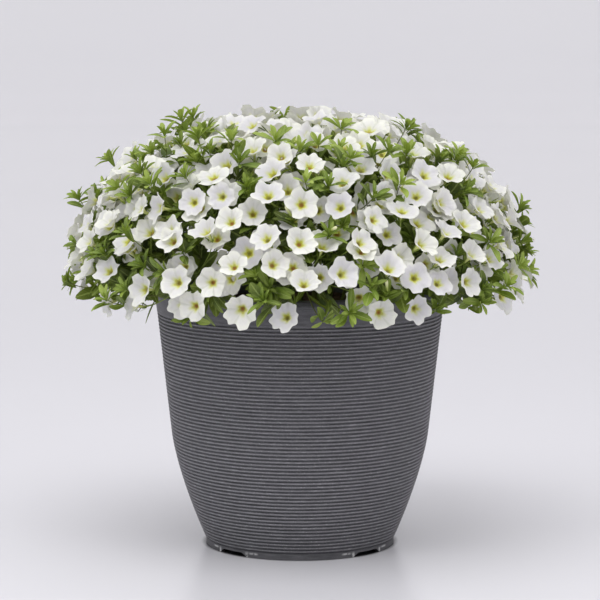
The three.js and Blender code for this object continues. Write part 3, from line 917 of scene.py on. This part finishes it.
def drawn_out(bm, sides, rings, capped):
    """A tube about the Z axis, drawn out of a circle from ring to ring."""
    radius, height = rings[0]
    bmesh.ops.create_circle(bm, cap_ends=capped, segments=sides, radius=radius)
    bmesh.ops.translate(bm, vec=(0, 0, height), verts=bm.verts)
    edges = bm.edges[:]
    for next_radius, next_height in rings[1:]:
        drawn = bmesh.ops.extrude_edge_only(bm, edges=edges)["geom"]
        edges = [part for part in drawn if isinstance(part, bmesh.types.BMEdge)]
        for part in drawn:
            if isinstance(part, bmesh.types.BMVert):
                part.co.xy *= next_radius / radius
                part.co.z = next_height
        radius = next_radius
    bmesh.ops.recalc_face_normals(bm, faces=bm.faces)


def tube_shape(name, finish, sides, rings, closed=False):
    bm = new_shape()
    drawn_out(bm, sides, rings, closed)
    if closed:
        bmesh.ops.holes_fill(bm, edges=bm.edges)
        bmesh.ops.recalc_face_normals(bm, faces=bm.faces)
    keep_form(bm, bm.verts)
    return Shape(name, bm, finish)


def corolla_shape(number, cup):
    """The fused petals of a bloom that faces +Z, with a rim radius of 1 and depths in metres."""
    draw = draws_from(COROLLA_SEED + number)
    bm = new_shape()
    drawn_out(bm, COROLLA_SIDES, COROLLA_RINGS, True)
    face_up(bm)
    keep_form(bm, bm.verts)
    sways = [swayed(draw, LOBE_SWAY) for _ in range(BLOOM_LOBES)]
    radii = [radius for radius, _ in COROLLA_RINGS]
    for vert in bm.verts:
        angle = math.atan2(vert.co.y, vert.co.x)
        spread = float(np.interp(math.hypot(vert.co.x, vert.co.y), radii, COROLLA_SPREADS))
        lobed = math.cos(BLOOM_LOBES * angle)
        notch = (0.5 - 0.5 * lobed) ** NOTCH_POWER
        dimple = max(0, lobed) ** DIMPLE_POWER * spread**2
        lobe = round(BLOOM_LOBES * angle / FULL_TURN) % BLOOM_LOBES
        narrower = NOTCH_SHARE * notch + DIMPLE_SHARE * dimple + draw(0, FRILL_SHARE)
        vert.co.xy *= 1 - narrower * spread
        vert.co.z += (cup - NOTCH_DIP * notch + sways[lobe] * (1 - notch)) * spread
        vert.co.z += swayed(draw, RIM_WAVE) * spread
    return Shape(f"corolla_{number}", bm, 0)


def calyx_shape():
    """Five narrow sepals that spread from the foot of a bloom's tube."""
    bm = new_shape()
    for sepal in range(BLOOM_LOBES):
        made = bmesh.ops.create_grid(bm, x_segments=1, y_segments=2, size=1)["verts"]
        keep_form(bm, made)
        for vert in made:
            tapered = 1 - SEPAL_ENDS * abs(vert.co.y) - SEPAL_TIP * vert.co.y
            vert.co.x *= SEPAL_WIDTH / 2 * tapered
            vert.co.y = (vert.co.y + 1) / 2 * SEPAL_LENGTH
        lean = Matrix.Rotation(math.radians(90 - SEPAL_LEAN), 4, "X")
        turn = Matrix.Rotation(FULL_TURN * (sepal + 0.5) / BLOOM_LOBES, 4, "Z")
        place = turn @ Matrix.Translation(SEPAL_FOOT) @ lean
        bmesh.ops.transform(bm, matrix=place, verts=made)
    return Shape("calyx", bm, 2)


def leaf_shape(name, widths, folds, fold, curl):
    """A leaf of length 1 along +Y and width 1, folded along its rib, with its tip curling down."""
    bm = new_shape()
    bmesh.ops.create_grid(bm, x_segments=folds, y_segments=len(widths) - 1, size=1)
    keep_form(bm, bm.verts)
    stations = np.linspace(0, 1, len(widths))
    for vert in bm.verts:
        along = (vert.co.y + 1) / 2
        width = float(np.interp(along, stations, widths))
        rise = fold * abs(vert.co.x) * width + LEAF_RISE * along - curl * along**2
        vert.co = Vector((vert.co.x * width / 2, along, rise))
    return Shape(name, bm, 0)


COROLLAS = [corolla_shape(number, cup) for number, cup in enumerate(COROLLA_CUPS)]
STALK = tube_shape("stalk", 1, STALK_SIDES, tuple(zip(STALK_RADII, STALK_HEIGHTS)))
CALYX = calyx_shape()
TWIG = tube_shape("twig", 1, TWIG_SIDES, TWIG_RINGS)
BUD = tube_shape("bud", 2, BUD_SIDES, BUD_RINGS, closed=True)
LEAVES = [leaf_shape(f"leaf_{n}", LEAF_WIDTHS, 2, *form) for n, form in enumerate(LEAF_FORMS)]
DEEP_LEAF = leaf_shape("deep_leaf", DEEP_LEAF_WIDTHS, 1, 0, DEEP_LEAF_CURL)


# ---- Setting shapes in their places

LEAF_SPOTS = (0.3, 0.65, 1)
LEAF_NEAR = 0.03
LEAST_LEAF = 0.004
LEAST_LEAN = 0.1
BOX_ROOM = 0.001
FRINGE_HEIGHT = 0.2485
FRINGE_SWAY = 0.0085
FRINGE_WAVES = 3
FRINGE_TURN = math.radians(-55)


def any_of(shapes, draw):
    return shapes[int(draw(0, len(shapes)))]


class Cluster:
    """A piece that is built up of copies of small shapes, and the blooms that it keeps clear of."""

    def __init__(self, blooms=()):
        self.bm = new_shape()
        self.blooms = blooms

    def add(self, shape, places, tone):
        copy = shape.mesh.copy()
        inside = np.clip(places, BOX_LOW, BOX_HIGH)
        copy.vertices.foreach_set("co", inside.astype(np.float32).ravel())
        copy.attributes["tone"].data.foreach_set("value", np.full(len(places), tone, np.float32))
        self.bm.from_mesh(copy)
        bpy.data.meshes.remove(copy)

    def finished(self, name, slot, node, finishes):
        piece = piece_of(name, self.bm, slot, node, *finishes)
        piece.modifiers.new("Rounded", "SUBSURF").render_levels = 1


def add_hung(cluster, shape, item, root, width, tone, rigid=0, fixed=0, stretch=1):
    """Adds a shape that hangs behind an item and bends down to a root.

    It is rigid down to one depth, keeps its lengths down to another, and from there its depth
    counts as a share of the rest of the way.
    """
    x, y, z = shape.places.T
    sideways = np.outer(x * width, item.across) + np.outer(y * width, item.over)
    straight = item.point + sideways + np.outer(z, item.facing)
    start = item.at(0, 0, -rigid)
    length = np.linalg.norm(root - start)
    free = np.clip((-z - fixed) / stretch, 0, 1)
    travelled = np.minimum(-z, fixed) - rigid + (length - fixed + rigid) * free
    share = np.clip(travelled / length, 0, 1)[:, None]
    centre, heading = along_bend(start, item.facing, root, share)
    heading /= np.linalg.norm(heading, axis=1)[:, None]
    hinge = np.cross(-item.facing, heading)
    swung = np.cross(hinge, sideways)
    lean = 1 + heading @ -item.facing
    turned = sideways + swung + np.cross(hinge, swung) / np.maximum(lean, LEAST_LEAN)[:, None]
    cluster.add(shape, np.where((-z > rigid)[:, None], centre + turned, straight), tone)


def fringe_height(point):
    """How low the leaves hang at a point's turn. The plant's lower edge rises and falls."""
    turn = math.atan2(point[1], point[0])
    return FRINGE_HEIGHT + FRINGE_SWAY * math.cos(FRINGE_WAVES * (turn - FRINGE_TURN))


def add_leaf(cluster, shape, base, along, up, length, width, tone):
    """Adds a leaf that fits the model's box, unless it hangs too low or would meet a bloom."""
    room = ((np.where(along > 0, BOX_HIGH, BOX_LOW) - base) / along).min() - BOX_ROOM
    length = min(length, room)
    spots = base + np.outer(LEAF_SPOTS, along * length)
    if length < LEAST_LEAF or spots[-1][2] < fringe_height(spots[-1]):
        return
    if not all(keeps_clear(bloom, spots) for bloom in near(cluster.blooms, spots[1], LEAF_NEAR)):
        return
    side = unit(np.cross(along, up))
    normal = np.cross(side, along)
    places = shape.set_in(base, side * width, along * length, normal * length)
    cluster.add(shape, places, tone)


# ---- Sprays of blooms

TONE_SEED = 611
BEND_START = 0.008
CALYX_DEPTH = 0.0205
STALK_STRETCH = 0.003


def add_bloom(cluster, bloom, draw):
    tone = draw(0, 1)
    corolla = any_of(COROLLAS, draw)
    across = bloom.at(bloom.spin, bloom.radius, 0) - bloom.point
    over = bloom.at(bloom.spin + FULL_TURN / 4, bloom.radius, 0) - bloom.point
    cluster.add(corolla, corolla.set_in(bloom.point, across, over, bloom.facing), tone)
    for shape in (STALK, CALYX):
        depths = BEND_START, CALYX_DEPTH, STALK_STRETCH
        add_hung(cluster, shape, bloom, bloom.branch.hub, 1, tone, *depths)


def bloom_sprays(branches, blooms, finishes):
    draw = draws_from(TONE_SEED)
    for number, branch in enumerate(branches, 1):
        cluster = Cluster()
        for bloom in blooms:
            if bloom.branch is branch:
                add_bloom(cluster, bloom, draw)
        cluster.finished(f"blooms_{number:02d}", "petal", f"bloom_spray_{number:02d}", finishes)


# ---- Leafy branches

LEAF_SEED = 3389
SHOOT_TONES = (0.08, 0.85)
FILLER_TONES = (0.1, 0.85)
PAINTED_SHADE_PER_INSET = 9
STEM_TONE = 0.3
STEM_RADIUS = 0.0026
STEM_TAPER = 0.8
TWIG_RADIUS = 0.0009
WHORL_TURN_SWAY = 0.15
WHORL_SETBACK = 0.003
WHORL_RISE_SWAY = 0.002
WHORL_TONE_SWAY = 0.25
WHORL_SLIMNESS = (0.3, 0.4)
INNER_LEAVES = 6
INNER_LENGTHS = (0.016, 0.008)
INNER_LIFTS = (42, 78)
INNER_TONE = 0.2
TWIG_LEAF_SHARES = (0.14, 0.3, 0.46)
TWIG_LEAF_LENGTHS = (0.018, 0.027)
TWIG_LEAF_SLIMNESS = (0.36, 0.5)
TWIG_LEAF_LIFT = (25, 60)
TWIG_LEAF_TURN_SWAY = 0.4
TWIG_LEAF_SHARE_SWAY = 0.05
TWIG_LEAF_TONE_SWAY = 0.2
DEEP_LEAF_SHARES = (0.4, 0.52, 0.64, 0.76, 0.88)
DEEP_LEAF_LENGTHS = (0.026, 0.036)
DEEP_LEAF_SLIMNESS = (0.45, 0.6)
BUD_SHARE = 0.15
BUD_INSET = 0.008
BUD_LEAN = (0.3, 0.7)
BUD_RISE = 0.006
BUD_STALK = 0.6


def add_whorl(cluster, shoot, draw, tone):
    """Long low leaves and short steeper ones by turns, round a few small upright ones."""
    for leaf in range(WHORL_LEAVES):
        angle = shoot.spin + FULL_TURN * leaf / WHORL_LEAVES + swayed(draw, WHORL_TURN_SWAY)
        length, rise = shoot.leaves[leaf % 2]
        base = shoot.at(angle, TWIG_RADIUS, draw(-WHORL_SETBACK, 0))
        along = unit(shoot.at(angle, length, rise + swayed(draw, WHORL_RISE_SWAY)) - base)
        width = length * draw(*WHORL_SLIMNESS)
        shade = tone + swayed(draw, WHORL_TONE_SWAY)
        add_leaf(cluster, any_of(LEAVES, draw), base, along, shoot.facing, length, width, shade)
    lengths = np.linspace(*INNER_LENGTHS, INNER_LEAVES)
    lifts = np.linspace(*np.radians(INNER_LIFTS), INNER_LEAVES)
    for leaf, (length, lift) in enumerate(zip(lengths, lifts)):
        angle = shoot.spin + GOLDEN_TURN * (leaf + 0.5)
        width = length * draw(*WHORL_SLIMNESS)
        base = shoot.at(angle, TWIG_RADIUS, 0)
        along = unit(shoot.at(angle, math.cos(lift), math.sin(lift)) - shoot.point)
        shade = tone + INNER_TONE
        add_leaf(cluster, any_of(LEAVES, draw), base, along, shoot.facing, length, width, shade)


def add_bud(cluster, shoot, draw, tone):
    """A furled bud that leans out of a whorl."""
    sideways = shoot.at(draw(0, FULL_TURN), draw(*BUD_LEAN), 0) - shoot.point
    bud = Item(shoot.at(0, 0, BUD_RISE), unit(shoot.facing + sideways))
    cluster.add(BUD, BUD.set_in(bud.point, bud.across, bud.over, bud.facing), tone)
    add_hung(cluster, TWIG, bud, shoot.point, TWIG_RADIUS * BUD_STALK, tone)


def leaf_from_twig(shoot, share, angle, draw):
    """The foot of a leaf on a twig, the way that the leaf grows and the way of the twig there."""
    point, heading = along_bend(shoot.point, shoot.facing, shoot.branch.point, share)
    twig = Item(point, -unit(heading))
    lift = math.radians(draw(*TWIG_LEAF_LIFT))
    return point, unit(twig.at(angle, math.cos(lift), math.sin(lift)) - point), twig.facing


def add_twig(cluster, shoot, draw, tone):
    """The twig that carries a shoot, with leaves along it."""
    add_hung(cluster, TWIG, shoot, shoot.branch.point, TWIG_RADIUS, tone)
    for number, share in enumerate(TWIG_LEAF_SHARES + DEEP_LEAF_SHARES):
        deep = share in DEEP_LEAF_SHARES
        angle = shoot.spin + GOLDEN_TURN * number + swayed(draw, TWIG_LEAF_TURN_SWAY)
        place = leaf_from_twig(shoot, share + swayed(draw, TWIG_LEAF_SHARE_SWAY), angle, draw)
        length = draw(*(DEEP_LEAF_LENGTHS if deep else TWIG_LEAF_LENGTHS))
        width = length * draw(*(DEEP_LEAF_SLIMNESS if deep else TWIG_LEAF_SLIMNESS))
        shape = DEEP_LEAF if deep else any_of(LEAVES, draw)
        # Painted shade: the further down the twig a leaf grows, deeper inside the plant, the darker it
        # is.
        shade = tone - share + swayed(draw, TWIG_LEAF_TONE_SWAY)
        add_leaf(cluster, shape, *place, length, width, shade)


def add_stem(cluster, branch):
    """A branch's main stem, from its hole in the soil over a bend to the hub of its blooms."""
    out = np.array([math.cos(branch.turn), math.sin(branch.turn), 0])
    spread = BENT_HOLE_SPREAD if branch.bends else HOLE_SPREAD
    foot = out * spread * np.hypot(*branch.point[:2])
    foot[2] = SOIL_TOP - HOLE_DEPTH + SEAT_GAP
    elbow = (foot + branch.point) / 2
    if branch.bends:
        elbow = out * ELBOW_RADIUS + np.array([0, 0, ELBOW_HEIGHT])
    tip = Item(branch.hub, branch.facing)
    add_hung(cluster, TWIG, tip, elbow, STEM_RADIUS * STEM_TAPER, STEM_TONE)
    add_hung(cluster, TWIG, Item(elbow, unit(elbow - foot)), foot, STEM_RADIUS, STEM_TONE)


def leafy_branches(branches, blooms, shoots, fillers, finishes):
    draw = draws_from(LEAF_SEED)
    for number, branch in enumerate(branches, 1):
        cluster = Cluster(blooms)
        add_stem(cluster, branch)
        for shoot in shoots:
            if shoot.branch is branch:
                tone = draw(*SHOOT_TONES)
                add_whorl(cluster, shoot, draw, tone)
                add_twig(cluster, shoot, draw, tone)
        for filler in fillers:
            if filler.branch is branch:
                # Painted shade: the deeper a sprig sits in the dome, the darker its leaves.
                tone = draw(*FILLER_TONES) - filler.inset * PAINTED_SHADE_PER_INSET
                add_whorl(cluster, filler, draw, tone)
                add_twig(cluster, filler, draw, tone)
                if draw(0, 1) < BUD_SHARE and filler.inset > BUD_INSET:
                    add_bud(cluster, filler, draw, tone)
        cluster.finished(f"leaves_{number:02d}", "leaf", f"leafy_branch_{number:02d}", finishes)


# ---- Planter and soil


def wall_radius(height):
    """The outside of the bell-shaped wall, at the crests of its ribs."""
    tuck = BELL_TUCK * (max(0, BELL_HEIGHT - height) / BELL_DEPTH) ** BELL_POWER
    return WALL_BASE_RADIUS + WALL_SLOPE * height - tuck


def inner_radius(height):
    return wall_radius(height) - RIB_DEPTH - WALL


def ribbed_wall():
    outline = []
    for rib in range(RIB_COUNT):
        for place, crest in RIB_OUTLINE:
            height = FOOT_HEIGHT + (rib + place) * RIB_PITCH
            outline.append((wall_radius(height) - RIB_DEPTH * (1 - crest), height))
    return outline


def planter_outline():
    """Half of the planter's section as (radius, height), from the recess under its floor."""
    foot_inside = FOOT_RADIUS - FOOT_WIDTH
    rim_bottom = PLANTER_HEIGHT - RIM_DROP
    return [
        (0, RECESS),
        (foot_inside, RECESS),
        (foot_inside, 0),
        (FOOT_RADIUS, 0),
        (FOOT_RADIUS, FOOT_HEIGHT),
        *ribbed_wall(),
        (BAND_BOTTOM_RADIUS - RIB_DEPTH, BAND_BOTTOM),
        (BAND_BOTTOM_RADIUS, BAND_BOTTOM + RIM_ROUND),
        (BAND_TOP_RADIUS, rim_bottom - RIM_ROUND),
        (RIM_RADIUS, rim_bottom),
        (RIM_RADIUS, PLANTER_HEIGHT - RIM_ROUND),
        (RIM_RADIUS - RIM_ROUND, PLANTER_HEIGHT),
        (BAND_TOP_RADIUS - WALL, PLANTER_HEIGHT),
        *[(inner_radius(height), height) for height in (*INNER_HEIGHTS, FLOOR_TOP)],
        (0, FLOOR_TOP),
    ]


def turned(outline, steps):
    """A closed shape turned about the Z axis from half of its section."""
    bm = bmesh.new()
    verts = [bm.verts.new((radius, 0, height)) for radius, height in outline]
    edges = [bm.edges.new(pair) for pair in zip(verts, verts[1:])]
    drawn = {"geom": verts + edges, "axis": (0, 0, 1), "angle": FULL_TURN, "steps": steps}
    bmesh.ops.spin(bm, use_merge=True, **drawn)
    bmesh.ops.remove_doubles(bm, verts=bm.verts, dist=1e-6)
    bmesh.ops.recalc_face_normals(bm, faces=bm.faces)
    return bm


def drill(piece):
    """Cuts the drain holes through the planter's floor."""
    drills = bmesh.new()
    for drain in range(DRAIN_COUNT):
        turn = FULL_TURN * (drain + 0.5) / DRAIN_COUNT
        place = DRAIN_CIRCLE * math.cos(turn), DRAIN_CIRCLE * math.sin(turn), DRILL_HEIGHT
        radii = {"radius1": DRAIN_RADIUS, "radius2": DRAIN_RADIUS}
        size = {"segments": DRILL_SIDES, "depth": DRILL_DEPTH, **radii}
        bmesh.ops.create_cone(drills, cap_ends=True, matrix=Matrix.Translation(place), **size)
    cutter = object_of("drain_drills", mesh_of("drain_drills", drills))
    cut = piece.modifiers.new("Drain holes", "BOOLEAN")
    cut.object = cutter
    view = bpy.context.evaluated_depsgraph_get()
    holed = bpy.data.meshes.new_from_object(piece.evaluated_get(view))
    piece.modifiers.clear()
    piece.data = holed
    bpy.data.objects.remove(cutter)


def planter_piece():
    bm = turned(planter_outline(), PLANTER_STEPS)
    notch_half = NOTCH_WIDTH / 2 / FOOT_RADIUS
    notch_turn = FULL_TURN / NOTCH_COUNT
    for vert in bm.verts:
        turn = math.atan2(vert.co.y, vert.co.x) % notch_turn
        if vert.co.z < MM / 10 and abs(turn - notch_turn / 2) < notch_half:
            vert.co.z = NOTCH_HEIGHT
    piece = piece_of("ribbed_planter", bm, "planter", "planter", planter_finish())
    drill(piece)
    piece.data.shade_smooth()
    piece.data.set_sharp_from_angle(angle=math.radians(SHARP_ANGLE))


def soil_piece():
    """Soil that fills the planter, with a lumpy top."""
    bottom = FLOOR_TOP + SEAT_GAP
    heights = [bottom, *reversed(INNER_HEIGHTS)]
    wall = [(inner_radius(height) - SOIL_GAP, height) for height in heights]
    top = [(wall[-1][0] * share, SOIL_TOP) for share in np.linspace(1, 0, SOIL_RINGS)]
    bm = turned([(0, bottom), *wall, *top], SOIL_STEPS)
    for vert in bm.verts:
        if vert.co.z > SOIL_TOP - MM:
            lump = noise.noise(vert.co * LUMP_SCALE) + 0.5 * noise.noise(vert.co * CRUMB_SCALE)
            vert.co.z += SOIL_LUMPS * (lump - SOIL_SINK)
    piece = piece_of("soil", bm, "soil", "potting_soil", soil_finish())
    piece.data.shade_smooth()


# ---- Stage, light and camera

FLOOR_RADIUS = 9
FLOOR_SWEEP = 7
FLOOR_SWEEP_END = 60
FLOOR_SWEEP_STEPS = 12
FLOOR_STEPS = 96
SKY_TINT = (0.985, 0.98, 1.0)
SKY_LOW = 0.30
SKY_HIGH = 1.18
LIGHT_TARGET = (0, 0, 0.3)
SOFTBOXES = (
    ("top_softbox", (-0.3, -1.1, 2.4), (2.0, 1.4), 27),
    ("left_softbox", (-2.4, -1.7, 1.4), (1.3, 1.3), 15),
    ("right_softbox", (2.4, -1.7, 1.4), (1.3, 1.3), 12),
)
CAMERA_DISTANCE = 2.548
CAMERA_HEIGHT = 0.55
CAMERA_PITCH = 6.7
CAMERA_LENS = 150


def add_floor():
    """A plain floor that sweeps up far away all round."""
    steps = np.linspace(0, math.radians(FLOOR_SWEEP_END), FLOOR_SWEEP_STEPS + 1)
    sweep = [(FLOOR_RADIUS + FLOOR_SWEEP * math.sin(t), FLOOR_SWEEP * (1 - math.cos(t))) for t in steps]
    bm = turned([(0, 0), *sweep], FLOOR_STEPS)
    face_up(bm)
    floor = object_of("floor", mesh_of("floor", bm, floor_finish()))
    floor.data.shade_smooth()


def add_softbox(name, place, size, power):
    light = bpy.data.lights.new(name, "AREA")
    light.shape = "RECTANGLE"
    light.size, light.size_y = size
    light.energy = power
    box = object_of(name, light)
    box.location = place
    box.rotation_euler = (Vector(LIGHT_TARGET) - box.location).to_track_quat("-Z", "Y").to_euler()
    box.visible_camera = False


def add_sky():
    """Even studio light that comes mostly from above."""
    world = bpy.data.worlds.new("studio")
    bpy.context.scene.world = world
    world.use_nodes = True
    nodes = world.node_tree.nodes
    links = world.node_tree.links
    way = nodes.new("ShaderNodeTexCoord")
    split = nodes.new("ShaderNodeSeparateXYZ")
    strength = nodes.new("ShaderNodeMapRange")
    strength.inputs["To Min"].default_value = SKY_LOW
    strength.inputs["To Max"].default_value = SKY_HIGH
    backdrop = nodes["Background"]
    backdrop.inputs["Color"].default_value = (*SKY_TINT, 1)
    links.new(way.outputs["Generated"], split.inputs[0])
    links.new(split.outputs["Z"], strength.inputs["Value"])
    links.new(strength.outputs["Result"], backdrop.inputs["Strength"])


def add_camera():
    lens = bpy.data.cameras.new("camera")
    lens.lens = CAMERA_LENS
    camera = object_of("camera", lens)
    camera.location = (0, -CAMERA_DISTANCE, CAMERA_HEIGHT)
    camera.rotation_euler = (math.radians(90 - CAMERA_PITCH), 0, 0)
    bpy.context.scene.camera = camera
    bpy.context.scene.view_settings.view_transform = "Standard"


# ---- The potted plant

add_camera()
branches = placed_branches()
main_blooms = placed_blooms(branches)
shoots = placed_shoots(branches, main_blooms)
blooms = placed_more_blooms(branches, main_blooms, shoots)
fillers = placed_fillers(branches, blooms, shoots)
leaves = leaf_finish()
bloom_sprays(branches, blooms, (petal_finish(), stalk_finish(), leaves))
leafy_branches(branches, blooms, shoots, fillers, (leaves, twig_finish(), bud_finish()))
planter_piece()
soil_piece()
add_floor()
add_sky()
for softbox in SOFTBOXES:
    add_softbox(*softbox)
